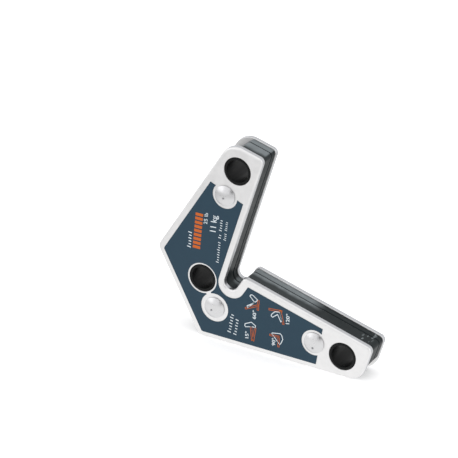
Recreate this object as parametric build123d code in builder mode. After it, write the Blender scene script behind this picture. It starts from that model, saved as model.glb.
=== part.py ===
from build123d import *
from math import atan2, cos, degrees, radians, sin, sqrt
import os

# Multi-angle magnetic welding holder.
#
# Two stamped steel plates are riveted over a moulded core that carries ferrite magnets.
# The core is in two layers, a deep tray at the front and a shallow lid at the back.
# Three sleeves pass through the whole thickness. The two arms meet at a 90 degree
# working corner, with a U-shaped relief notch so that a weld bead clears the steel.
#
# The outline is drawn in corner coordinates: u runs along the lower arm and v along the
# upper arm, both from the working corner. The part stands on the outer edge of its lower
# arm, so in the row frame +X runs along that edge towards the lower arm's tip, +Z is up
# and the labelled front face looks towards -Y.

# Driving dimensions (mm, degrees)
TAPER = 15.0                    # outer edge of each arm against its working edge
LOWER_REACH = 72.0              # working corner to the lower arm's tip
UPPER_REACH = 56.0              # working corner to the upper arm's tip
UPPER_DEPTH = 30.8              # working corner to the upper arm's outer edge
LOWER_DEPTH = 35.2              # working corner to the lower arm's outer edge
CORNER_DEPTH = 28.7             # working corner to the 45 degree corner edge
THICKNESS = 15.0                # over both plates
PLATE_T = 2.5
PLATE_EDGE_R = 1.0              # rounded outer edge of a stamped plate
PLATE_BURR_R = 0.2              # broken edge on the plate's inner side
TIP_OUTER_R = 8.0
TIP_INNER_R = 2.5
HEEL_R = 4.0                    # both ends of the corner edge
NOTCH_R = 3.2
NOTCH_CENTRE_V = -5.6
NOTCH_LIP_R = 2.0

CORE_INSET = 0.5                # the core stands back from the plates' edges
CORE_TRAY_DEPTH = 6.9           # front moulding; the back one, the lid, fills the rest
CORE_SEAM_R = 0.7
CORE_PLATE_R = 0.15
CORE_CUT_CORNER_R = 1.5

SLEEVE_R = 6.25
SLEEVE_BORE_R = 5.0
SLEEVE_EDGE = 0.3
SLEEVE_FIT = 0.05
SLEEVE_HOLE_EDGE = 0.25         # broken edge of the plates' sleeve holes
RIVET_SHANK_R = 2.5
RIVET_FIT = 0.05
RIVET_HEAD_R = 4.7
RIVET_RIM_T = 0.4               # the head's rim curls up off the plate by this much
RIVET_HEAD_T = 1.7
PUNCH_MARK_R = 0.9
PUNCH_MARK_DEPTH = 0.25

LABEL_T = 0.15
LABEL_INSET = 2.7
LABEL_NOTCH_EXTRA = 0.5
LABEL_UPPER_REACH = 31.8        # along each arm's centre line
LABEL_LOWER_REACH = 47.9
LABEL_SLIP = (0.15, -0.35)      # it is stuck on slightly off the middle of the plate
SLEEVE_WINDOW_R = 7.05
RIVET_WINDOW_R = 6.6
RIVET_BITE_R = 5.9
WINDOW_LINK = 2.6

MAGNET_FIT = 0.1

CORE_T = THICKNESS - 2 * PLATE_T
HALF_CORE = CORE_T / 2
SEAM = HALF_CORE - CORE_TRAY_DEPTH
HALF = THICKNESS / 2
SLEEVE_HOLE_R = SLEEVE_R + SLEEVE_FIT
RIVET_HOLE_R = RIVET_SHANK_R + RIVET_FIT

# Places in corner coordinates (u, v)
SLEEVES = {"upper": (-9.6, 45.4), "middle": (-9.6, -10.4), "lower": (60.8, -10.3)}
RIVETS = {"upper": (-11.4, 31.9), "middle": (-0.1, -20.6), "lower": (47.1, -11.2)}
# Where the rivet set's point struck each front head, from the head's centre
PUNCH_MARKS = {"upper": (0.15, -0.65), "middle": (-0.5, -1.0), "lower": (0.6, -1.9)}
# Magnet blocks: centre, length across the arm, length along it, turn in degrees
MAGNETS = {
    "upper": ((-12.4, 11.5), 17.0, 26.0, 0.0),
    "lower": ((26.0, -12.0), 28.0, 16.0, 0.0),
    "corner": ((-17.0, -16.8), 5.4, 22.0, 45.0),
}

# Every side of the outline: direction of its outward normal, distance from the corner
SIDES = {
    "upper_tip": (90.0, UPPER_REACH),
    "upper_outer": (180.0 - TAPER, UPPER_DEPTH),
    "corner": (225.0, CORNER_DEPTH),
    "lower_outer": (270.0 + TAPER, LOWER_DEPTH),
    "lower_tip": (0.0, LOWER_REACH),
    "lower_working": (90.0, 0.0),
    "upper_working": (0.0, 0.0),
}
# Straight cuts that take the place of the rounded outer tips on the core
CUTS = {
    "upper_cut": (146.0, 41.4),
    "lower_cut": (327.0, 66.2),
}
# Corners of the outline in order round it, each with its radius
UPPER_OUTER_CORNER = [("upper_tip", "upper_outer", TIP_OUTER_R)]
LOWER_OUTER_CORNER = [("lower_outer", "lower_tip", TIP_OUTER_R)]
HEEL_CORNERS = [
    ("upper_outer", "corner", HEEL_R),
    ("corner", "lower_outer", HEEL_R),
]
WORKING_CORNERS = [
    ("lower_tip", "lower_working", TIP_INNER_R),
    ("lower_working", "upper_working", None),
    ("upper_working", "upper_tip", TIP_INNER_R),
]
CORNERS = UPPER_OUTER_CORNER + HEEL_CORNERS + LOWER_OUTER_CORNER + WORKING_CORNERS
CORE_UPPER_CORNERS = [
    ("upper_tip", "upper_cut", CORE_CUT_CORNER_R),
    ("upper_cut", "upper_outer", CORE_CUT_CORNER_R),
]
CORE_LOWER_CORNERS = [
    ("lower_outer", "lower_cut", CORE_CUT_CORNER_R),
    ("lower_cut", "lower_tip", CORE_CUT_CORNER_R),
]
CORE_CORNERS = CORE_UPPER_CORNERS + HEEL_CORNERS + CORE_LOWER_CORNERS + WORKING_CORNERS
SMALLEST_R = 0.4


def direction(angle):
    """Unit vector at this angle in corner coordinates."""
    return Vector(cos(radians(angle)), sin(radians(angle)))


def meet(first, second, inset=0.0):
    """Point where two sides of the outline cross once both are moved inwards by inset."""
    angle_a, reach_a = (SIDES | CUTS)[first]
    angle_b, reach_b = (SIDES | CUTS)[second]
    reach_a -= inset
    reach_b -= inset
    across = sin(radians(angle_b - angle_a))
    u = (reach_a * sin(radians(angle_b)) - reach_b * sin(radians(angle_a))) / across
    v = (reach_b * cos(radians(angle_a)) - reach_a * cos(radians(angle_b))) / across
    return Vector(u, v)


def reach(first, second, radius, angle):
    """Furthest point of a rounded corner in the direction of angle, from the working corner."""
    return meet(first, second, radius).dot(direction(angle)) + radius


# The row frame's origin is under the middle of the part's length, on the standing edge.
FORWARD = reach("lower_tip", "lower_working", TIP_INNER_R, TAPER)
BACKWARD = reach("upper_outer", "corner", HEEL_R, 180 + TAPER)
CORNER_X = (BACKWARD - FORWARD) / 2
MIDDLE = Plane(
    origin=(CORNER_X, 0, LOWER_DEPTH),
    x_dir=(cos(radians(TAPER)), 0, -sin(radians(TAPER))),
    z_dir=(0, -1, 0),
)


def outline(plane, inset=0.0, notch_extra=0.0, corners=CORNERS):
    """Sketch of the holder's outline on a plane, its sides moved inwards by inset."""
    # Relief notch: its straight wall carries on the upper arm's working edge, a half
    # round closes it, and its far wall leans open by the taper angle.
    radius = NOTCH_R + inset + notch_extra
    centre = Vector(NOTCH_R + notch_extra, NOTCH_CENTRE_V)
    wall_foot = Vector(-inset, centre.Y)
    lowest = centre + direction(-90) * radius
    lean_foot = centre + direction(-TAPER) * radius
    lean = direction(90 - TAPER)
    lip = lean_foot + lean * ((-inset - lean_foot.Y) / lean.Y)
    lean_top = lip + lean
    with BuildSketch(plane) as sketch:
        with BuildLine():
            Polyline(*[meet(first, second, inset) for first, second, _ in corners], close=True)
        make_face()
        for first, second, corner_r in corners:
            if corner_r is not None:
                corner = vertices().sort_by_distance(meet(first, second, inset))[0]
                fillet(corner, max(corner_r - inset, SMALLEST_R))
        with BuildLine():
            Line((-inset, lean_top.Y), wall_foot)
            ThreePointArc(wall_foot, lowest, lean_foot)
            Line(lean_foot, lean_top)
            Line(lean_top, (-inset, lean_top.Y))
        make_face(mode=Mode.SUBTRACT)
        fillet(vertices().sort_by_distance(lip)[0], max(NOTCH_LIP_R - inset, SMALLEST_R))
    return sketch.sketch


def drill(places, radius):
    """Circles at these places, in the current sketch."""
    with Locations(*places.values()):
        Circle(radius)


def write(part, name):
    part.label = name
    export_step(part, f"parts/{name}.step")


os.makedirs("parts", exist_ok=True)


# Plates: stamped steel, rounded on the outside, flat where they hold the core
def make_plate(front):
    side = 1 if front else -1
    shape = outline(MIDDLE.offset(side * HALF_CORE))
    with BuildPart() as plate:
        extrude(shape, amount=side * PLATE_T)
        outside = plate.faces().sort_by(Axis.Y)[0 if front else -1]
        inside = plate.faces().sort_by(Axis.Y)[-1 if front else 0]
        fillet(outside.edges(), PLATE_EDGE_R)
        fillet(inside.edges(), PLATE_BURR_R)
        with BuildSketch(MIDDLE.offset(side * HALF_CORE)):
            drill(SLEEVES, SLEEVE_HOLE_R)
            drill(RIVETS, RIVET_HOLE_R)
        extrude(amount=side * PLATE_T, mode=Mode.SUBTRACT)
        face = plate.faces().sort_by(Axis.Y)[0 if front else -1]
        rings = face.edges().filter_by(GeomType.CIRCLE)
        holes = rings.filter_by(lambda edge: abs(edge.radius - SLEEVE_HOLE_R) < SLEEVE_FIT)
        fillet(holes, SLEEVE_HOLE_EDGE)
    return plate.part


write(make_plate(front=True), "front_plate")
write(make_plate(front=False), "back_plate")


# Core: a deep front moulding and a shallow back one, which meet in a rounded seam
def make_core_moulding(front):
    side = 1 if front else -1
    depth = CORE_TRAY_DEPTH if front else CORE_T - CORE_TRAY_DEPTH
    seam_plane = MIDDLE.offset(SEAM)
    shape = outline(seam_plane, CORE_INSET, corners=CORE_CORNERS)
    with BuildPart() as moulding:
        extrude(shape, amount=side * depth)
        seam = moulding.faces().sort_by(Axis.Y)[-1 if front else 0]
        plate_side = moulding.faces().sort_by(Axis.Y)[0 if front else -1]
        fillet(seam.edges(), CORE_SEAM_R)
        fillet(plate_side.edges(), CORE_PLATE_R)
        with BuildSketch(seam_plane):
            drill(SLEEVES, SLEEVE_HOLE_R)
            drill(RIVETS, RIVET_HOLE_R)
            for centre, across, along, turn in MAGNETS.values():
                with Locations(centre):
                    Rectangle(across + 2 * MAGNET_FIT, along + 2 * MAGNET_FIT, rotation=turn)
        extrude(amount=side * depth, mode=Mode.SUBTRACT)
    return moulding.part


write(make_core_moulding(front=True), "core_tray")
write(make_core_moulding(front=False), "core_lid")


# Magnets: one ferrite block in each pocket, reaching both plates
def make_magnet(centre, across, along, turn):
    with BuildPart() as magnet:
        with BuildSketch(MIDDLE.offset(-HALF_CORE)):
            with Locations(centre):
                Rectangle(across, along, rotation=turn)
        extrude(amount=CORE_T)
    return magnet.part


for place, (centre, across, along, turn) in MAGNETS.items():
    write(make_magnet(centre, across, along, turn), f"{place}_magnet")


# Sleeves: plain tubes, flush with both plates
def make_sleeve(centre):
    with BuildPart() as sleeve:
        with BuildSketch(MIDDLE.offset(-HALF)):
            with Locations(centre):
                Circle(SLEEVE_R)
                Circle(SLEEVE_BORE_R, mode=Mode.SUBTRACT)
        extrude(amount=THICKNESS)
        fillet(sleeve.edges().filter_by(GeomType.CIRCLE), SLEEVE_EDGE)
    return sleeve.part


for place, centre in SLEEVES.items():
    write(make_sleeve(centre), f"{place}_sleeve")


# Rivets: low domed heads on both plates, with the set's punch mark on the front head
def make_rivet(centre, mark):
    axis_plane = Plane(
        origin=MIDDLE.from_local_coords(Vector(*centre, 0)),
        x_dir=(1, 0, 0),
        z_dir=(0, 0, 1),
    )
    rim = HALF + RIVET_RIM_T
    seat_r = RIVET_HEAD_R - RIVET_RIM_T
    top = HALF + RIVET_HEAD_T
    dome_rise = top - rim
    dome_r = (RIVET_HEAD_R**2 + dome_rise**2) / (2 * dome_rise)
    shoulder = RIVET_HEAD_R / 2
    shoulder_y = top - dome_r + sqrt(dome_r**2 - shoulder**2)
    surface = top - dome_r + sqrt(dome_r**2 - Vector(*mark).length ** 2)
    punch_height = surface + PUNCH_MARK_R - PUNCH_MARK_DEPTH
    with BuildPart() as rivet:
        with BuildSketch(axis_plane):
            with BuildLine():
                ThreePointArc((0, top), (shoulder, shoulder_y), (RIVET_HEAD_R, rim))
                Line((RIVET_HEAD_R, rim), (seat_r, HALF))
                Line((seat_r, HALF), (RIVET_SHANK_R, HALF))
                Line((RIVET_SHANK_R, HALF), (RIVET_SHANK_R, 0))
                mirror(about=Plane.XZ)
                Line((0, top), (0, -top))
            make_face()
        revolve(axis=Axis(axis_plane.origin, (0, 1, 0)))
        with Locations(MIDDLE.from_local_coords(Vector(*centre) + Vector(*mark, punch_height))):
            Sphere(PUNCH_MARK_R, mode=Mode.SUBTRACT)
    return rivet.part


for place, centre in RIVETS.items():
    write(make_rivet(centre, PUNCH_MARKS[place]), f"{place}_rivet")


# Label: one printed film on the front plate, cut clear of the notch, sleeve and rivets
label_plane = MIDDLE.offset(HALF)
stuck_plane = label_plane.shift_origin(label_plane.from_local_coords(Vector(*LABEL_SLIP, 0)))
label_shape = outline(stuck_plane, LABEL_INSET, LABEL_NOTCH_EXTRA)
beyond = 2 * LOWER_REACH
upper_line = direction(90 - TAPER / 2)
lower_line = direction(TAPER / 2)
link = Vector(*RIVETS["middle"]) - Vector(*SLEEVES["middle"])
link_turn = degrees(atan2(link.Y, link.X))
with BuildPart() as label:
    extrude(label_shape, amount=LABEL_T)
    with BuildSketch(label_plane):
        with Locations(upper_line * (LABEL_UPPER_REACH + beyond / 2)):
            Rectangle(LOWER_REACH, beyond, rotation=-TAPER / 2)
        with Locations(lower_line * (LABEL_LOWER_REACH + beyond / 2)):
            Rectangle(beyond, LOWER_REACH, rotation=TAPER / 2)
        with Locations(SLEEVES["middle"]):
            Circle(SLEEVE_WINDOW_R)
        with Locations(RIVETS["middle"]):
            Circle(RIVET_WINDOW_R)
        with Locations(RIVETS["upper"], RIVETS["lower"]):
            Circle(RIVET_BITE_R)
        with Locations(Vector(*SLEEVES["middle"]) + link / 2):
            Rectangle(link.length, WINDOW_LINK, rotation=link_turn)
    extrude(amount=LABEL_T, mode=Mode.SUBTRACT)
write(label.part, "angle_label")
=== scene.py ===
import math

import bmesh
import bpy
from mathutils import Matrix, Vector


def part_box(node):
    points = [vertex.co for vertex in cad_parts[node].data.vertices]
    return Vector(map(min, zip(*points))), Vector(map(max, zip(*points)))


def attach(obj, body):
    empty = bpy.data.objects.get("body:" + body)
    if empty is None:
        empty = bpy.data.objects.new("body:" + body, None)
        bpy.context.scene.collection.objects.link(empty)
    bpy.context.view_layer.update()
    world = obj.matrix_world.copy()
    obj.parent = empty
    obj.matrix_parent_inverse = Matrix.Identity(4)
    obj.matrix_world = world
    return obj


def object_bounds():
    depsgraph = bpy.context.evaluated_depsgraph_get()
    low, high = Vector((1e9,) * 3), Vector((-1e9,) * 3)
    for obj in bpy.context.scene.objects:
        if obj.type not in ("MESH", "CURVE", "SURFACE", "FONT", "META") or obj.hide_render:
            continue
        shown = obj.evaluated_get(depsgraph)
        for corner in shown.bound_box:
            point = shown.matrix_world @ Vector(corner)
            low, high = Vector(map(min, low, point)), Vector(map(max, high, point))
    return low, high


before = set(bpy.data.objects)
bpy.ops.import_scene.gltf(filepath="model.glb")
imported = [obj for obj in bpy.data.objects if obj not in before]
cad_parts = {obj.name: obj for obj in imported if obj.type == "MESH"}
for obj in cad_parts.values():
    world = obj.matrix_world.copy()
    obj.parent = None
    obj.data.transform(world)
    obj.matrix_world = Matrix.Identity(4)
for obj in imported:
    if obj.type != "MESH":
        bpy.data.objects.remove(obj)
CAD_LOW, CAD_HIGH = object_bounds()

MM = 0.001

# Camera: a 36 mm sensor and a long lens, so the arms' edges stay nearly parallel.
CAMERA_AZIMUTH = 27.478
CAMERA_ELEVATION = 26.058
CAMERA_ROLL = 2.544
CAMERA_AWAY = 1239.98 * MM
CAMERA_LENS = 230.815
CAMERA_SENSOR = 36.0
CAMERA_CLIP_START = 50.0 * MM
# The point looked at, from the middle of the holder's box.
LOOK_AT = Vector((-18.53, -6.15, 7.22)) * MM

# Noise patterns mostly stay between these values.
NOISE_LOW = 0.3
NOISE_HIGH = 0.7

# Painted sheen on the core: a pale band painted on faces that look up, where a reflection would
# light them. Across the thickness it lies behind a front limit, by a wavy line, and a thin share
# lies in front of it. Along the lower arm it stops at an end, and high on the upper arm it comes
# further forward.
SHEEN_FRONT = -0.2 * MM
SHEEN_FADE = 1.2 * MM
SHEEN_WAVE = 2.0 * MM
SHEEN_THIN_SHARE = 0.1
SHEEN_END = 21.0 * MM
SHEEN_END_FADE = 4.0 * MM
SHEEN_FURTHER = 2.6 * MM
SHEEN_FURTHER_FROM = 60.0 * MM
SHEEN_FURTHER_FULL = 70.0 * MM
# How far up a face looks, as its normal's Z, before the painted sheen shows on it.
SHEEN_SLOPE_CLEAR = 0.6
SHEEN_SLOPE_FULL = 0.9

# Painted glints near the lower tip, pale strokes painted in place of small reflections: where they
# start and end along the length, how softly, and the share of their places that holds none.
GLINT_START = 44.0 * MM
GLINT_END = 48.5 * MM
GLINT_FADE = 0.8 * MM
GLINT_LEFT_OUT = 0.45

# The rivet set's punch mark on each front head, from the head's middle in the arms' own
# directions, which stand turned on the standing edge.
ARM_TURN = math.radians(15.0)
PUNCH_MARKS = {"upper": (0.15, -0.65), "middle": (-0.5, -1.0), "lower": (0.6, -1.9)}
PUNCH_DEPTH = 0.4 * MM
PUNCH_DARK_R = 0.25 * MM
PUNCH_CLEAR_R = 0.75 * MM

# Studio, in metres, degrees and watts.
FLOOR_SIDE = 12.0
CARD_SIDE = 1.6
CARD_RISE = 0.2 * MM
FLAG_SIDE = 0.22
FLAG_AZIMUTH = 18.0
FLAG_ELEVATION = 13.0
FLAG_AWAY = 0.6
# Soft lights: name, azimuth, elevation, distance, side, power.
SOFTBOXES = (
    ("overhead_softbox", 10.0, 75.0, 1.8, 2.4, 5.0),
    ("left_softbox", -48.0, 10.0, 1.6, 1.0, 1.6),
    ("right_softbox", 100.0, 30.0, 1.9, 0.9, 3.5),
)
# The graded card's palest place, and how far from it the card starts and ends greying.
PALE_SPOT = Vector((25.0, -30.0, 0.0)) * MM
PALE_NEAR = 70.0 * MM
PALE_FAR = 220.0 * MM

# Printed ink on the label: its rise in metres, and widths in mm.
INK_RISE = 0.03 * MM
LINE_WIDTH = 0.36
BAR_WIDTH = 0.95
BAR_LINE_WIDTH = 0.24
# How far the load rating leans from the other print, in degrees.
PRINT_TILT = -3.3
# Slant, cap height of the font for a size of 1, and the distance that joins its points.
NUMERAL_SHEAR = -0.15
NUMERAL_CAP = 0.729
NUMERAL_MERGE = 0.001
# Orange and white bars: the share of each step that is inked, and their lean in mm.
BLOCK_FILL = 0.68
BLOCK_LEAN = 0.2
TICK_FILL = 0.3
TICK_LEAN = -0.1
# A mitred corner reaches at most this many half widths out.
MITRE_LIMIT = 2.0


def linear(hex_code):
    """An sRGB hex colour as the linear RGBA that the shaders take."""
    values = [int(hex_code[i : i + 2], 16) / 255 for i in (1, 3, 5)]
    return (
        *(v / 12.92 if v <= 0.04045 else ((v + 0.055) / 1.055) ** 2.4 for v in values),
        1.0,
    )


def feed(tree, node, inputs):
    """Gives a node's inputs their values or links."""
    for name, value in inputs.items():
        if isinstance(value, bpy.types.NodeSocket):
            tree.links.new(value, node.inputs[name])
        else:
            node.inputs[name].default_value = value


def add(tree, kind, inputs=None, **settings):
    """Adds one node with its settings, and its inputs as values or links."""
    node = tree.nodes.new(kind)
    for name, value in settings.items():
        setattr(node, name, value)
    feed(tree, node, inputs or {})
    return node


def per_metre(size):
    """A texture's scale: how often a pattern of this size in mm repeats in a metre, to
    the nearest ten."""
    return round(1.0 / (size * MM), -1)


def finish_named(name):
    """A new material, its node tree, its shader and the object's own coordinates."""
    material = bpy.data.materials.new(name)
    material.use_nodes = True
    tree = material.node_tree
    place = add(tree, "ShaderNodeTexCoord").outputs["Object"]
    return material, tree, tree.nodes["Principled BSDF"], place


def wear(node_name, material):
    """Gives a CAD node's mesh this material in every slot."""
    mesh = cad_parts[node_name].data
    for slot in range(max(1, len(mesh.materials))):
        if len(mesh.materials) <= slot:
            mesh.materials.append(material)
        else:
            mesh.materials[slot] = material


# ---------------------------------------------------------------- materials


def zinc_plated_pressed_steel():
    """Blanked sheet steel, tumbled and zinc plated: pale satin grey with a soft mottle
    on the faces, and a slightly greyer sheared edge with marks across its thickness."""
    material, tree, shader, place = finish_named("zinc_plated_pressed_steel")
    # Plating mottle, patches of about 3 mm.
    mottle = add(
        tree,
        "ShaderNodeTexNoise",
        {"Vector": place, "Scale": per_metre(3.03), "Detail": 5.0, "Roughness": 0.6},
    ).outputs["Fac"]
    # Matt crystals of the plating, 0.25 mm, coarser than the real 0.02 mm so they show.
    grain = add(
        tree,
        "ShaderNodeTexNoise",
        {"Vector": place, "Scale": per_metre(0.25), "Detail": 2.0, "Roughness": 0.5},
    ).outputs["Fac"]
    # Shear marks across the 2.5 mm edge, 0.3 mm apart.
    stretched = add(
        tree,
        "ShaderNodeVectorMath",
        {0: place, 1: (per_metre(0.303), per_metre(5.56), per_metre(0.303))},
        operation="MULTIPLY",
    ).outputs["Vector"]
    shear = add(
        tree, "ShaderNodeTexNoise", {"Vector": stretched, "Scale": 1.0, "Detail": 2.0}
    ).outputs["Fac"]
    # The sheared edge starts where the surface turns away from the front or the back.
    normal = add(tree, "ShaderNodeNewGeometry").outputs["Normal"]
    facing = add(tree, "ShaderNodeSeparateXYZ", {"Vector": normal}).outputs["Y"]
    flat = add(tree, "ShaderNodeMath", {0: facing}, operation="ABSOLUTE").outputs[0]
    edge = add(
        tree,
        "ShaderNodeMapRange",
        {"Value": flat, "From Min": 0.5, "From Max": 0.1},
    ).outputs["Result"]
    face_colour = add(
        tree,
        "ShaderNodeMix",
        {0: mottle, 6: linear("#DCDCDC"), 7: linear("#F0EFEF")},
        data_type="RGBA",
    ).outputs[2]
    edge_colour = add(
        tree,
        "ShaderNodeMix",
        {0: shear, 6: linear("#AFB1B4"), 7: linear("#D2D3D5")},
        data_type="RGBA",
    ).outputs[2]
    colour = add(
        tree,
        "ShaderNodeMix",
        {0: edge, 6: face_colour, 7: edge_colour},
        data_type="RGBA",
    ).outputs[2]
    rough = add(
        tree,
        "ShaderNodeMapRange",
        {
            "Value": mottle,
            "From Min": NOISE_LOW,
            "From Max": NOISE_HIGH,
            "To Min": 0.34,
            "To Max": 0.46,
        },
    ).outputs["Result"]
    relief = add(
        tree, "ShaderNodeMix", {0: edge, 2: grain, 3: shear}, data_type="FLOAT"
    ).outputs[0]
    bump = add(
        tree,
        "ShaderNodeBump",
        {"Height": relief, "Strength": 0.25, "Distance": 0.02 * MM},
    ).outputs["Normal"]
    feed(tree, shader, {"Base Color": colour, "Roughness": rough, "Normal": bump})
    shader.inputs["Metallic"].default_value = 1.0
    return material


def bright_tumbled_steel():
    """Cold-headed steel rivet, tumbled bright: a soft-edged highlight, broken by duller
    patches and small handling dents."""
    material, tree, shader, place = finish_named("bright_tumbled_steel")
    # Tumbling dents about 1.1 mm across.
    dents = add(
        tree,
        "ShaderNodeTexNoise",
        {"Vector": place, "Scale": per_metre(1.11), "Detail": 1.0, "Roughness": 0.5},
    ).outputs["Fac"]
    # Dull handling patches about 2 mm across.
    patch = add(
        tree,
        "ShaderNodeTexNoise",
        {"Vector": place, "Scale": per_metre(2.22), "Detail": 4.0},
    ).outputs["Fac"]
    steel = add(
        tree,
        "ShaderNodeMix",
        {0: patch, 6: linear("#D0D0D1"), 7: linear("#DADADB")},
        data_type="RGBA",
    ).outputs[2]
    # Painted shade in the punch mark, about 1 mm across: a darker grey painted where the dimple
    # lies.
    from_mark = None
    for arm, mark in PUNCH_MARKS.items():
        low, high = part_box(f"{arm}_rivet")
        along, up = (m * MM for m in mark)
        middle = (low + high) / 2
        middle.x += along * math.cos(ARM_TURN) + up * math.sin(ARM_TURN)
        middle.y = low.y + PUNCH_DEPTH
        middle.z += up * math.cos(ARM_TURN) - along * math.sin(ARM_TURN)
        away = add(
            tree, "ShaderNodeVectorMath", {0: place, 1: middle}, operation="DISTANCE"
        ).outputs["Value"]
        if from_mark is None:
            from_mark = away
        else:
            from_mark = add(
                tree, "ShaderNodeMath", {0: from_mark, 1: away}, operation="MINIMUM"
            ).outputs[0]
    punch_mark_shade = add(
        tree,
        "ShaderNodeMapRange",
        {"Value": from_mark, "From Min": PUNCH_CLEAR_R, "From Max": PUNCH_DARK_R},
    ).outputs["Result"]
    colour = add(
        tree,
        "ShaderNodeMix",
        {0: punch_mark_shade, 6: steel, 7: linear("#858688")},
        data_type="RGBA",
    ).outputs[2]
    rough = add(
        tree,
        "ShaderNodeMapRange",
        {
            "Value": patch,
            "From Min": NOISE_LOW,
            "From Max": NOISE_HIGH,
            "To Min": 0.26,
            "To Max": 0.32,
        },
    ).outputs["Result"]
    bump = add(
        tree,
        "ShaderNodeBump",
        {"Height": dents, "Strength": 0.12, "Distance": 0.04 * MM},
    ).outputs["Normal"]
    feed(tree, shader, {"Base Color": colour, "Roughness": rough, "Normal": bump})
    shader.inputs["Metallic"].default_value = 1.0
    return material


def printed_vinyl_film():
    """Cast vinyl film with a flood of slate-blue ink: even satin colour, a fine orange
    peel and slow changes of ink density."""
    material, tree, shader, place = finish_named("printed_vinyl_film")
    # Ink density drifts over about 6 mm.
    density = add(
        tree,
        "ShaderNodeTexNoise",
        {"Vector": place, "Scale": per_metre(6.25), "Detail": 4.0},
    ).outputs["Fac"]
    # Orange peel about 0.36 mm across.
    peel = add(
        tree,
        "ShaderNodeTexNoise",
        {"Vector": place, "Scale": per_metre(0.357), "Detail": 2.0},
    ).outputs["Fac"]
    colour = add(
        tree,
        "ShaderNodeMix",
        {0: density, 6: linear("#143345"), 7: linear("#1A3949")},
        data_type="RGBA",
    ).outputs[2]
    rough = add(
        tree,
        "ShaderNodeMapRange",
        {
            "Value": density,
            "From Min": NOISE_LOW,
            "From Max": NOISE_HIGH,
            "To Min": 0.42,
            "To Max": 0.5,
        },
    ).outputs["Result"]
    bump = add(
        tree,
        "ShaderNodeBump",
        {"Height": peel, "Strength": 0.2, "Distance": 0.01 * MM},
    ).outputs["Normal"]
    feed(tree, shader, {"Base Color": colour, "Roughness": rough, "Normal": bump})
    shader.inputs["IOR"].default_value = 1.45
    shader.inputs["Specular IOR Level"].default_value = 0.38
    return material


def screen_ink(name, thin, full):
    """Screen-printed ink: a thin satin layer, a little mottled by the screen's mesh."""
    material, tree, shader, place = finish_named(name)
    # Screen mesh marks 0.5 mm apart.
    mesh_mark = add(
        tree,
        "ShaderNodeTexNoise",
        {"Vector": place, "Scale": per_metre(0.5), "Detail": 2.0},
    ).outputs["Fac"]
    colour = add(
        tree,
        "ShaderNodeMix",
        {0: mesh_mark, 6: linear(thin), 7: linear(full)},
        data_type="RGBA",
    ).outputs[2]
    bump = add(
        tree,
        "ShaderNodeBump",
        {"Height": mesh_mark, "Strength": 0.2, "Distance": 0.01 * MM},
    ).outputs["Normal"]
    feed(tree, shader, {"Base Color": colour, "Normal": bump})
    shader.inputs["Roughness"].default_value = 0.4
    shader.inputs["Specular IOR Level"].default_value = 0.2
    return material


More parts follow.
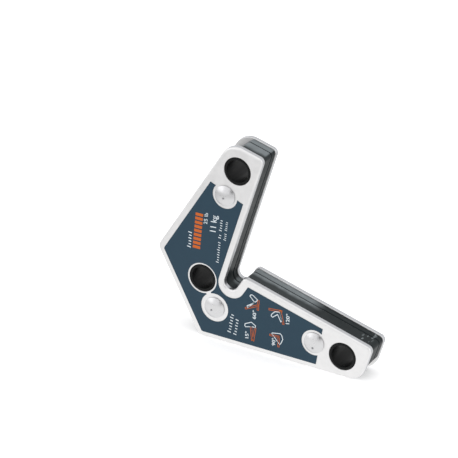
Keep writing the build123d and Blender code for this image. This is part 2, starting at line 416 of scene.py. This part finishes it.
def moulded_black_nylon():
    """Glass-filled nylon, injection moulded: charcoal with a satin shine and faint flow
    lines, a painted sheen where a face looks up, and painted glints near the lower tip."""
    material, tree, shader, place = finish_named("moulded_black_nylon")
    # Flow lines across the 10 mm thickness, 0.4 mm apart, drawn out along the arms.
    stretched = add(
        tree,
        "ShaderNodeVectorMath",
        {0: place, 1: (per_metre(16.7), per_metre(0.4), per_metre(16.7))},
        operation="MULTIPLY",
    ).outputs["Vector"]
    flow = add(
        tree, "ShaderNodeTexNoise", {"Vector": stretched, "Scale": 1.0, "Detail": 3.0}
    ).outputs["Fac"]
    # Handling marks and the painted sheen's uneven edge, in clouds of 4 mm.
    cloud = add(
        tree,
        "ShaderNodeTexNoise",
        {"Vector": place, "Scale": per_metre(4.0), "Detail": 5.0},
    ).outputs["Fac"]
    # Painted glints: pale strokes across the thickness near the lower tip, painted in place of small
    # reflections. Each has a cell of its own, 1 mm along the arm and 2.4 mm across it, and fades out
    # half a cell from its middle.
    where = add(tree, "ShaderNodeSeparateXYZ", {"Vector": place})
    drawn_out = add(
        tree,
        "ShaderNodeVectorMath",
        {0: place, 1: (per_metre(1.0), per_metre(2.38), per_metre(1.0))},
        operation="MULTIPLY",
    ).outputs["Vector"]
    cells = add(tree, "ShaderNodeTexVoronoi", {"Vector": drawn_out, "Scale": 1.0})
    stroke = add(
        tree,
        "ShaderNodeMapRange",
        {"Value": cells.outputs["Distance"], "From Min": 0.5, "From Max": 0.36},
    ).outputs["Result"]
    chance = add(tree, "ShaderNodeSeparateXYZ", {"Vector": cells.outputs["Color"]}).outputs["X"]
    kept = add(
        tree, "ShaderNodeMath", {0: chance, 1: GLINT_LEFT_OUT}, operation="GREATER_THAN"
    ).outputs[0]
    painted_glint = add(tree, "ShaderNodeMath", {0: stroke, 1: kept}, operation="MULTIPLY").outputs[0]
    for clear, full in (
        (GLINT_START - GLINT_FADE, GLINT_START + GLINT_FADE),
        (GLINT_END + GLINT_FADE, GLINT_END - GLINT_FADE),
    ):
        near_tip = add(
            tree,
            "ShaderNodeMapRange",
            {"Value": where.outputs["X"], "From Min": clear, "From Max": full},
        ).outputs["Result"]
        painted_glint = add(
            tree, "ShaderNodeMath", {0: painted_glint, 1: near_tip}, operation="MULTIPLY"
        ).outputs[0]
    # The painted sheen and the painted glints show only on faces that look up. The sheen keeps
    # within the limits given above: it stops short of the lower tip, and comes further forward high
    # on the upper arm.
    normal = add(tree, "ShaderNodeNewGeometry").outputs["True Normal"]
    looks_up = add(tree, "ShaderNodeSeparateXYZ", {"Vector": normal}).outputs["Z"]
    further = add(
        tree,
        "ShaderNodeMapRange",
        {
            "Value": where.outputs["Z"],
            "From Min": SHEEN_FURTHER_FROM,
            "From Max": SHEEN_FURTHER_FULL,
            "To Max": SHEEN_FURTHER,
        },
    ).outputs["Result"]
    depth = add(tree, "ShaderNodeMath", {0: where.outputs["Y"], 1: further}).outputs[0]
    wavy_depth = add(
        tree,
        "ShaderNodeMath",
        {0: cloud, 1: SHEEN_WAVE, 2: depth},
        operation="MULTIPLY_ADD",
    ).outputs[0]
    limit = SHEEN_FRONT + SHEEN_WAVE / 2
    by_depth, by_length, facing_up = (
        add(
            tree,
            "ShaderNodeMapRange",
            {"Value": value, "From Min": clear, "From Max": full, "To Min": least},
            interpolation_type="SMOOTHSTEP",
        ).outputs["Result"]
        for value, clear, full, least in (
            (wavy_depth, limit - SHEEN_FADE, limit + SHEEN_FADE, SHEEN_THIN_SHARE),
            (where.outputs["X"], SHEEN_END + SHEEN_END_FADE, SHEEN_END - SHEEN_END_FADE, 0.0),
            (looks_up, SHEEN_SLOPE_CLEAR, SHEEN_SLOPE_FULL, 0.0),
        )
    )
    sheen_spread = add(
        tree, "ShaderNodeMath", {0: by_depth, 1: by_length}, operation="MULTIPLY"
    ).outputs[0]
    pale = add(tree, "ShaderNodeMath", {0: sheen_spread, 1: painted_glint}, operation="MAXIMUM").outputs[0]
    painted_sheen = add(tree, "ShaderNodeMath", {0: pale, 1: facing_up}, operation="MULTIPLY").outputs[0]
    base = add(
        tree,
        "ShaderNodeMix",
        {0: flow, 6: linear("#0F1517"), 7: linear("#192224")},
        data_type="RGBA",
    ).outputs[2]
    # The painted sheen's pale colour, laid over the charcoal by the mask above.
    sheen_colour = add(
        tree,
        "ShaderNodeMix",
        {0: cloud, 6: linear("#606769"), 7: linear("#82888B")},
        data_type="RGBA",
    ).outputs[2]
    colour = add(
        tree,
        "ShaderNodeMix",
        {0: painted_sheen, 6: base, 7: sheen_colour},
        data_type="RGBA",
    ).outputs[2]
    rough = add(
        tree,
        "ShaderNodeMapRange",
        {
            "Value": cloud,
            "From Min": NOISE_LOW,
            "From Max": NOISE_HIGH,
            "To Min": 0.36,
            "To Max": 0.5,
        },
    ).outputs["Result"]
    bump = add(
        tree,
        "ShaderNodeBump",
        {"Height": flow, "Strength": 0.15, "Distance": 0.04 * MM},
    ).outputs["Normal"]
    feed(tree, shader, {"Base Color": colour, "Roughness": rough, "Normal": bump})
    shader.inputs["IOR"].default_value = 1.53
    # Fine dust all over it takes most of the gloss away.
    shader.inputs["Specular IOR Level"].default_value = 0.15
    return material


def tumbled_black_acetal():
    """Black acetal sleeve, turned and tumbled: deep black with a soft satin sheen and
    faint draw lines along the bore."""
    material, tree, shader, place = finish_named("tumbled_black_acetal")
    # Draw lines along the bore, 0.5 mm apart.
    stretched = add(
        tree,
        "ShaderNodeVectorMath",
        {0: place, 1: (per_metre(0.5), per_metre(16.7), per_metre(0.5))},
        operation="MULTIPLY",
    ).outputs["Vector"]
    draw = add(
        tree, "ShaderNodeTexNoise", {"Vector": stretched, "Scale": 1.0, "Detail": 2.0}
    ).outputs["Fac"]
    colour = add(
        tree,
        "ShaderNodeMix",
        {0: draw, 6: linear("#030505"), 7: linear("#080B0C")},
        data_type="RGBA",
    ).outputs[2]
    rough = add(
        tree,
        "ShaderNodeMapRange",
        {
            "Value": draw,
            "From Min": NOISE_LOW,
            "From Max": NOISE_HIGH,
            "To Min": 0.38,
            "To Max": 0.5,
        },
    ).outputs["Result"]
    bump = add(
        tree,
        "ShaderNodeBump",
        {"Height": draw, "Strength": 0.15, "Distance": 0.02 * MM},
    ).outputs["Normal"]
    feed(tree, shader, {"Base Color": colour, "Roughness": rough, "Normal": bump})
    shader.inputs["IOR"].default_value = 1.48
    # Tumbling leaves it duller than a polished tube.
    shader.inputs["Specular IOR Level"].default_value = 0.2
    return material


def ground_ferrite():
    """Sintered ferrite ground flat: dull charcoal ceramic with fine grinding lines."""
    material, tree, shader, place = finish_named("ground_ferrite")
    # Grinding lines 0.2 mm apart.
    stretched = add(
        tree,
        "ShaderNodeVectorMath",
        {0: place, 1: (per_metre(6.67), per_metre(6.67), per_metre(0.2))},
        operation="MULTIPLY",
    ).outputs["Vector"]
    lines = add(
        tree, "ShaderNodeTexNoise", {"Vector": stretched, "Scale": 1.0, "Detail": 2.0}
    ).outputs["Fac"]
    colour = add(
        tree,
        "ShaderNodeMix",
        {0: lines, 6: linear("#2B2C2E"), 7: linear("#45474A")},
        data_type="RGBA",
    ).outputs[2]
    bump = add(
        tree,
        "ShaderNodeBump",
        {"Height": lines, "Strength": 0.3, "Distance": 0.02 * MM},
    ).outputs["Normal"]
    feed(tree, shader, {"Base Color": colour, "Normal": bump})
    shader.inputs["Roughness"].default_value = 0.55
    return material


STEEL = zinc_plated_pressed_steel()
RIVET = bright_tumbled_steel()
FILM = printed_vinyl_film()
NYLON = moulded_black_nylon()
ACETAL = tumbled_black_acetal()
FERRITE = ground_ferrite()
WHITE_INK = screen_ink("white_screen_ink", "#B9C4CA", "#E6ECEF")
ORANGE_INK = screen_ink("orange_screen_ink", "#B05214", "#C86421")

FINISH_BY_WORD = {
    "plate": STEEL,
    "label": FILM,
    "core": NYLON,
    "magnet": FERRITE,
    "sleeve": ACETAL,
    "rivet": RIVET,
}
for node_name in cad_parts:
    for word, finish in FINISH_BY_WORD.items():
        if word in node_name:
            wear(node_name, finish)

# ------------------------------------------------------------ printed marks
# The label's print reads upward. A print place (along, up) is in mm: along is the
# height above the standing edge, and up is the way the tops of the numerals point,
# towards -X, measured from the middle of the holder's box.

LABEL_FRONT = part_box("angle_label")[0].y
MIDDLE_X = (CAD_LOW.x + CAD_HIGH.x) / 2
STANDING_Z = CAD_LOW.z


def on_label(along, up, rise):
    """A print place in mm as a point on the label's face, rise standing out of it."""
    return Vector((MIDDLE_X - up * MM, LABEL_FRONT - rise, STANDING_Z + along * MM))


def printed(name, mesh, ink):
    """A printed piece from a mesh in the part's own place."""
    mesh.materials.append(ink)
    piece = bpy.data.objects.new(name, mesh)
    bpy.context.scene.collection.objects.link(piece)
    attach(piece, "root")
    return piece


def add_patch(bm, corners):
    """A thin closed patch of ink over a flat outline of print places."""
    low = [bm.verts.new(on_label(*corner, -INK_RISE)) for corner in corners]
    high = [bm.verts.new(on_label(*corner, INK_RISE)) for corner in corners]
    count = len(corners)
    bm.faces.new(high)
    bm.faces.new(reversed(low))
    for i in range(count):
        j = (i + 1) % count
        bm.faces.new((low[i], low[j], high[j], high[i]))


def finished_mesh(bm, name):
    """The bmesh as a mesh with its faces turned outward."""
    bmesh.ops.recalc_face_normals(bm, faces=bm.faces)
    mesh = bpy.data.meshes.new(name)
    bm.to_mesh(mesh)
    bm.free()
    return mesh


def slanted_bars(start, end, height, count, fill, lean):
    """Corners of slanted bars side by side along a line of print places."""
    start, end = Vector(start), Vector(end)
    step = (end - start) / count
    along = (end - start).normalized()
    up = Vector((-along.y, along.x)) * height - along * lean
    for i in range(count):
        foot = start + step * i
        yield foot, foot + step * fill, foot + step * fill + up, foot + up


def text_mesh(text, start, tilt, height, length, heavy):
    """Numerals as a closed mesh, fitted to a cap height and a length in mm."""
    curve = bpy.data.curves.new("numerals", "FONT")
    curve.body = text
    curve.shear = NUMERAL_SHEAR
    curve.offset = heavy
    curve.resolution_u = 3
    source = bpy.data.objects.new("numerals", curve)
    bpy.context.scene.collection.objects.link(source)
    bpy.context.view_layer.update()
    depsgraph = bpy.context.evaluated_depsgraph_get()
    mesh = bpy.data.meshes.new_from_object(source.evaluated_get(depsgraph))
    bpy.data.objects.remove(source)
    bm = bmesh.new()
    bm.from_mesh(mesh)
    bmesh.ops.remove_doubles(bm, verts=bm.verts, dist=NUMERAL_MERGE)
    made = bmesh.ops.extrude_face_region(bm, geom=bm.faces[:])
    raised = {e for e in made["geom"] if isinstance(e, bmesh.types.BMVert)}
    low_x = min(v.co.x for v in bm.verts)
    high_x = max(v.co.x for v in bm.verts)
    turn = Matrix.Rotation(math.radians(tilt), 2)
    for vert in bm.verts:
        across = (vert.co.x - low_x) / (high_x - low_x) * length
        flat = turn @ Vector((across, vert.co.y / NUMERAL_CAP * height))
        rise = INK_RISE if vert in raised else -INK_RISE
        vert.co = on_label(start[0] + flat.x, start[1] + flat.y, rise)
    return finished_mesh(bm, "numerals")


def ink_line(bm, points, width):
    """A thin raised line of ink round a closed outline, mitred at its corners."""
    points = [Vector(p) for p in points]
    rings = []
    for i, point in enumerate(points):
        into = (point - points[i - 1]).normalized()
        out = (points[(i + 1) % len(points)] - point).normalized()
        middle = (into + out).normalized()
        across = Vector((-middle.y, middle.x))
        squareness = across.dot(Vector((-into.y, into.x)))
        reach = across * (width / 2 / max(1 / MITRE_LIMIT, squareness))
        left, right = point + reach, point - reach
        section = (
            on_label(*left, INK_RISE),
            on_label(*right, INK_RISE),
            on_label(*right, -INK_RISE),
            on_label(*left, -INK_RISE),
        )
        rings.append([bm.verts.new(place) for place in section])
    for one, two in zip(rings, rings[1:] + rings[:1]):
        for k in range(4):
            m = (k + 1) % 4
            bm.faces.new((one[k], two[k], two[m], one[m]))


# Orange block: a plain row of slanted bars.
bm = bmesh.new()
for corners in slanted_bars((41.0, 31.2), (58.4, 30.3), 3.6, 9, BLOCK_FILL, BLOCK_LEAN):
    add_patch(bm, corners)
printed("orange_bar_print", finished_mesh(bm, "orange_bars"), ORANGE_INK)

# White tick rows: start, end, height, then how many ticks stand in each group.
TICK_ROWS = (
    ((40.6, 35.7), (48.8, 35.4), 1.75, (6,)),
    ((37.0, 22.0), (58.0, 20.9), 1.3, (9, 2, 5)),
    ((48.3, 19.0), (57.6, 18.3), 1.2, (4, 5)),
    ((5.5, 14.7), (15.3, 13.4), 1.7, (7,)),
    ((5.1, 12.0), (13.5, 11.0), 1.5, (6,)),
)
# Heights of the ticks within a group, as shares of the row's height.
TICK_HEIGHTS = (1.0, 0.7, 0.7, 0.85, 0.7)
bm = bmesh.new()
for start, end, height, groups in TICK_ROWS:
    places = sum(groups) + len(groups) - 1
    bars = list(slanted_bars(start, end, height, places, TICK_FILL, TICK_LEAN))
    at = 0
    for group in groups:
        for i in range(group):
            foot_a, foot_b, top_b, top_a = bars[at]
            share = TICK_HEIGHTS[i % len(TICK_HEIGHTS)]
            top_a, top_b = foot_a.lerp(top_a, share), foot_b.lerp(top_b, share)
            add_patch(bm, (foot_a, foot_b, top_b, top_a))
            at += 1
        at += 1
printed("white_tick_print", finished_mesh(bm, "white_ticks"), WHITE_INK)

# Load rating and the four angle numerals: name, text, start, tilt, height, length, weight.
NUMERALS = (
    ("rating_kg_print", "11 kg", (50.6, 24.1), PRINT_TILT, 2.9, 8.3, 0.012),
    ("rating_lb_print", "25 lb", (53.4, 28.3), PRINT_TILT, 1.75, 5.4, 0.0),
    ("angle_60_print", "60°", (15.3, 3.0), 0.0, 1.65, 4.1, 0.025),
    ("angle_15_print", "15°", (5.0, 6.1), 0.0, 1.65, 3.4, 0.025),
    ("angle_120_print", "120°", (17.3, -12.9), 0.0, 1.65, 4.9, 0.025),
    ("angle_90_print", "90°", (5.3, -6.8), 0.0, 1.65, 3.6, 0.025),
)
for name, text, start, tilt, height, length, heavy in NUMERALS:
    printed(name, text_mesh(text, start, tilt, height, length, heavy), WHITE_INK)

# The four angle pictures: the holder's outline in white, and in orange the two
# workpieces that it holds at 60, 15, 120 and 90 degrees.
HOLDER_MARKS = (
    ((19.9, 7.1), (20.6, 7.4), (23.2, 3.9), (25.6, 6.3), (26.4, 5.8), (26.4, 5.0), (24.7, 2.5)),
    ((11.4, 4.3), (10.5, 7.7), (10.9, 8.1), (11.9, 8.0), (13.4, 5.0), (12.3, 3.0), (11.3, 3.0)),
    (
        (20.6, -7.2),
        (18.7, -4.9),
        (19.1, -4.2),
        (20.0, -4.4),
        (21.6, -5.9),
        (22.0, -8.2),
        (18.1, -9.4),
        (17.6, -8.9),
    ),
    ((10.8, -5.0), (11.2, -5.1), (11.9, -8.9), (11.3, -9.7), (9.5, -10.3), (7.4, -9.5), (6.7, -8.9)),
)
WORKPIECES = (
    ((19.2, 8.2), (22.3, 2.1)),
    ((20.0, 2.3), (24.6, 2.1)),
    ((11.3, 5.1), (4.8, 4.2)),
    ((11.3, 3.0), (4.8, 3.8)),
    ((22.0, -3.0), (22.7, -9.2)),
    ((22.7, -8.4), (16.8, -10.2)),
    ((10.0, -4.0), (10.3, -8.7)),
    ((10.5, -8.3), (5.4, -8.4)),
)
bm = bmesh.new()
for outline in HOLDER_MARKS:
    ink_line(bm, outline, LINE_WIDTH)
printed("holder_mark_print", finished_mesh(bm, "holder_marks"), WHITE_INK)
bm = bmesh.new()
for start, end in WORKPIECES:
    start, end = Vector(start), Vector(end)
    along = (end - start).normalized()
    half = Vector((-along.y, along.x)) * (BAR_WIDTH - BAR_LINE_WIDTH) / 2
    ink_line(bm, (start + half, end + half, end - half, start - half), BAR_LINE_WIDTH)
printed("workpiece_mark_print", finished_mesh(bm, "workpiece_marks"), ORANGE_INK)

# ------------------------------------------------------------------- studio
CENTRE = (CAD_LOW + CAD_HIGH) / 2


def plane(name, side, material):
    """A square staged sheet."""
    mesh = bpy.data.meshes.new(name)
    h = side / 2
    mesh.from_pydata([(-h, -h, 0), (h, -h, 0), (h, h, 0), (-h, h, 0)], [], [(0, 1, 2, 3)])
    mesh.materials.append(material)
    sheet = bpy.data.objects.new(name, mesh)
    bpy.context.scene.collection.objects.link(sheet)
    return sheet


def seen_only_in_reflections(sheet):
    """Studio cards light nothing and cast no shadow: gloss alone picks them up."""
    sheet.visible_camera = False
    sheet.visible_diffuse = False
    sheet.visible_shadow = False
    sheet.visible_transmission = False


paper, tree, shader, _ = finish_named("pale_floor_paper")
shader.inputs["Base Color"].default_value = linear("#F4F4F4")
shader.inputs["Roughness"].default_value = 0.9
shader.inputs["Specular IOR Level"].default_value = 0.1
# The paper is lit from below as well, which keeps the holder's shadow faint.
shader.inputs["Emission Color"].default_value = linear("#FFFFFF")
shader.inputs["Emission Strength"].default_value = 0.3
floor = plane("floor", FLOOR_SIDE, paper)
floor.location = (0.0, 0.0, STANDING_Z)

# A graded, back-lit card over the floor that only reflections see: pale beside the lower
# arm, and greyer further out, so that the plating shades off up the other arm.
card_paper, tree, shader, place = finish_named("graded_grey_card")
from_pale = add(
    tree, "ShaderNodeVectorMath", {0: place, 1: PALE_SPOT}, operation="DISTANCE"
).outputs["Value"]
shade = add(
    tree,
    "ShaderNodeMapRange",
    {"Value": from_pale, "From Min": PALE_NEAR, "From Max": PALE_FAR},
    interpolation_type="SMOOTHSTEP",
).outputs["Result"]
card_colour = add(
    tree,
    "ShaderNodeMix",
    {0: shade, 6: linear("#FFFFFF"), 7: linear("#DADADA")},
    data_type="RGBA",
).outputs[2]
tree.links.new(card_colour, shader.inputs["Emission Color"])
shader.inputs["Emission Strength"].default_value = 1.08
shader.inputs["Base Color"].default_value = linear("#000000")
shader.inputs["Specular IOR Level"].default_value = 0.0
card = plane("grey_card", CARD_SIDE, card_paper)
card.location = (0.0, 0.0, STANDING_Z + CARD_RISE)
seen_only_in_reflections(card)


def toward(azimuth, elevation):
    """The unit vector from the holder to a place at this angle."""
    a, e = math.radians(azimuth), math.radians(elevation)
    return Vector((math.sin(a) * math.cos(e), -math.cos(a) * math.cos(e), math.sin(e)))


def aimed(thing, azimuth, elevation, away):
    """Puts a light or a card at this angle from the holder, facing it."""
    back = toward(azimuth, elevation)
    thing.location = CENTRE + back * away
    thing.rotation_mode = "QUATERNION"
    thing.rotation_quaternion = back.to_track_quat("Z", "Y")


def softbox(name, azimuth, elevation, away, size, power):
    """A square soft light aimed at the holder."""
    light = bpy.data.lights.new(name, "AREA")
    light.shape = "SQUARE"
    light.size = size
    light.energy = power
    lamp = bpy.data.objects.new(name, light)
    aimed(lamp, azimuth, elevation, away)
    bpy.context.scene.collection.objects.link(lamp)


for softbox_values in SOFTBOXES:
    softbox(*softbox_values)

# Black flag in front, seen only by reflections: it darkens one side of each rivet.
flag_cloth, tree, shader, _ = finish_named("black_flag_cloth")
shader.inputs["Base Color"].default_value = linear("#101010")
shader.inputs["Roughness"].default_value = 1.0
shader.inputs["Specular IOR Level"].default_value = 0.0
flag = plane("black_flag", FLAG_SIDE, flag_cloth)
aimed(flag, FLAG_AZIMUTH, FLAG_ELEVATION, FLAG_AWAY)
seen_only_in_reflections(flag)

# Studio walls of white cloth, a little dimmer overhead.
world = bpy.data.worlds.new("studio_air")
bpy.context.scene.world = world
world.use_nodes = True
sky_tree = world.node_tree
sky_way = add(sky_tree, "ShaderNodeTexCoord").outputs["Generated"]
sky_height = add(sky_tree, "ShaderNodeSeparateXYZ", {"Vector": sky_way}).outputs["Z"]
overhead = add(
    sky_tree,
    "ShaderNodeMapRange",
    {"Value": sky_height, "From Min": 0.1, "From Max": 0.8, "To Min": 1.15, "To Max": 0.94},
    interpolation_type="SMOOTHSTEP",
).outputs["Result"]
sky = sky_tree.nodes["Background"]
sky.inputs["Color"].default_value = linear("#FAFAFB")
sky_tree.links.new(overhead, sky.inputs["Strength"])

bpy.context.scene.view_settings.view_transform = "Standard"
bpy.context.scene.view_settings.look = "None"

camera_data = bpy.data.cameras.new("camera")
camera_data.sensor_width = CAMERA_SENSOR
camera_data.lens = CAMERA_LENS
camera_data.clip_start = CAMERA_CLIP_START
camera = bpy.data.objects.new("camera", camera_data)
back = toward(CAMERA_AZIMUTH, CAMERA_ELEVATION)
azimuth = math.radians(CAMERA_AZIMUTH)
level = Vector((math.cos(azimuth), math.sin(azimuth), 0.0))
right = Matrix.Rotation(math.radians(CAMERA_ROLL), 3, back) @ level
up = back.cross(right)
facing = Matrix((right, up, back)).transposed().to_4x4()
camera.matrix_world = Matrix.Translation(CENTRE + LOOK_AT + back * CAMERA_AWAY) @ facing
bpy.context.scene.collection.objects.link(camera)
bpy.context.scene.camera = camera
